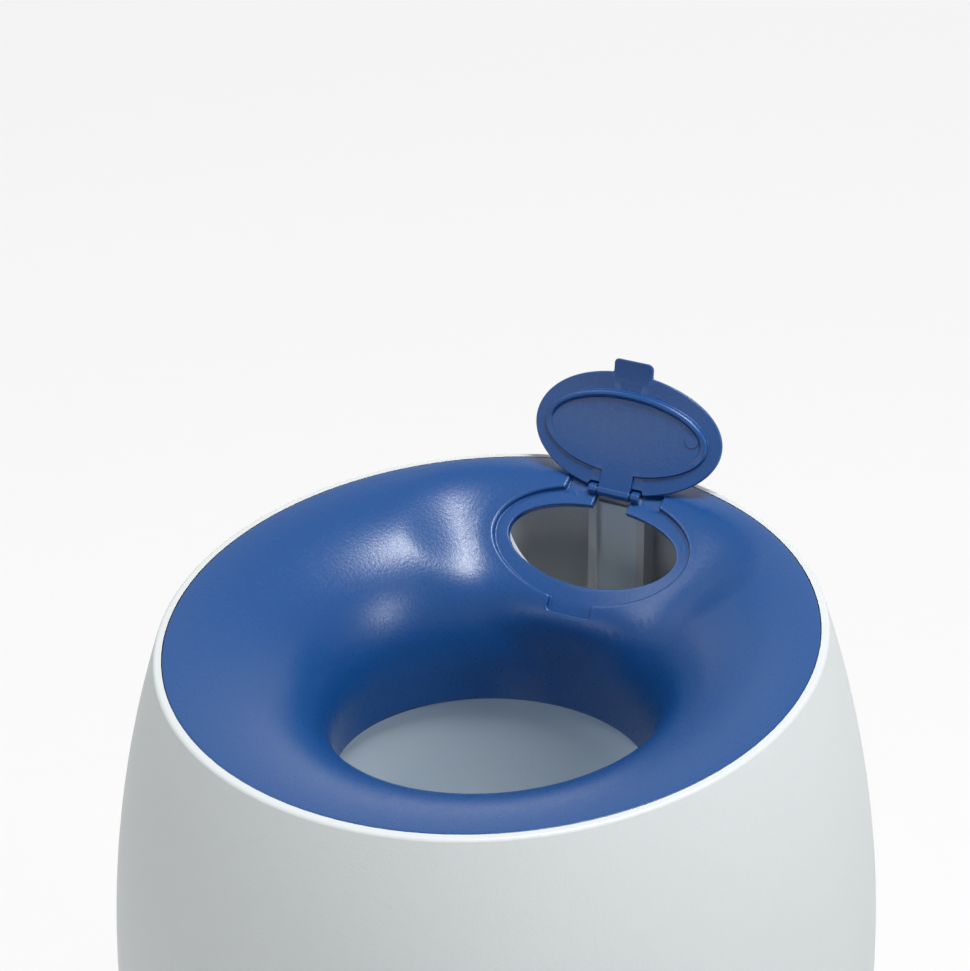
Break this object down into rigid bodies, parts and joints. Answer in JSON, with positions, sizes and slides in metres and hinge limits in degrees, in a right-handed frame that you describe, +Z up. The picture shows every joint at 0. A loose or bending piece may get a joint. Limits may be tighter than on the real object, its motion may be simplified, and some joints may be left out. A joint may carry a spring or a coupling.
{
  "type": "ball-drop dog treat dispenser",
  "caption": "Barrel-shaped dog toy: a ball dropped in the blue funnel rolls down a slide, trips a treadle and turns a drum that drops treats on the slide; hinged hatch over the treat hopper",
  "frame": {"origin": "on the floor under the middle of the body", "axes": "+Z up, the ball outlet towards -Y, the treat hatch towards +Y, +X to the right seen from the outlet"},
  "size_m": [0.239, 0.2404, 0.279],
  "materials": {
    "shell_plastic": "fine satin grain",
    "blue_plastic": "smooth satin gloss",
    "grey_plastic": "satin",
    "slide_plastic": "satin",
    "mechanism_plastic": "satin",
    "steel": "drawn, zinc plated",
    "foot_rubber": "soft matte"
  },
  "bodies": {
    "housing": {"body_shell": "shell_plastic", "funnel_ring": "blue_plastic", "lid_hinge_pin": "steel", "treat_hopper": "grey_plastic", "ball_ramp": "slide_plastic", "drum_housing": "mechanism_plastic", "trigger_shaft": "steel", "return_spring": "steel", "outlet_frame": "blue_plastic", "base_plate": "shell_plastic", "foot_front_left": "foot_rubber", "foot_front_right": "foot_rubber", "foot_rear_left": "foot_rubber", "foot_rear_right": "foot_rubber", "base_screws": "steel", "ring_screws": "steel", "ramp_screws": "steel", "housing_screws": "steel", "hopper_screws": "steel"},
    "lid": {"hopper_lid": "blue_plastic"},
    "gate": {"portion_gate": "slide_plastic"},
    "trigger": {"trigger_lever": "mechanism_plastic"},
    "rod": {"push_rod": "mechanism_plastic"},
    "drum": {"dosing_drum": "mechanism_plastic", "drum_shaft": "steel", "drum_pinion": "mechanism_plastic", "shaft_clips": "steel"}
  },
  "joints": [
    {"name": "lid_hinge", "type": "hinge", "parent": "housing", "child": "lid", "pos_m": [0, 0.08052, 0.23718], "axis": [1, 0, 0], "range_deg": [0, 148]},
    {"name": "gate_slide", "type": "slide", "parent": "housing", "child": "gate", "axis": [0, 0, 1], "range_m": [-0.007, 0]},
    {"name": "trigger_pivot", "type": "hinge", "parent": "housing", "child": "trigger", "pos_m": [0, 0.035, 0.026], "axis": [1, 0, 0], "range_deg": [0, 14]},
    {"name": "rod_slide", "type": "slide", "parent": "housing", "child": "rod", "axis": [0, 0, 1], "range_m": [0, 0.01125], "stiffness_N_per_m": 40, "springref_m": -0.015, "deforming": ["return_spring"]},
    {"name": "drum_spin", "type": "hinge", "parent": "housing", "child": "drum", "pos_m": [0, 0.072, 0.112], "axis": [1, 0, 0], "range_deg": [0, 99.2]}
  ],
  "couplings": [
    {"joint": "rod_slide", "follows": "trigger_pivot", "m_per_rad": 0.045886},
    {"joint": "drum_spin", "follows": "trigger_pivot", "ratio": 7.0593}
  ]
}
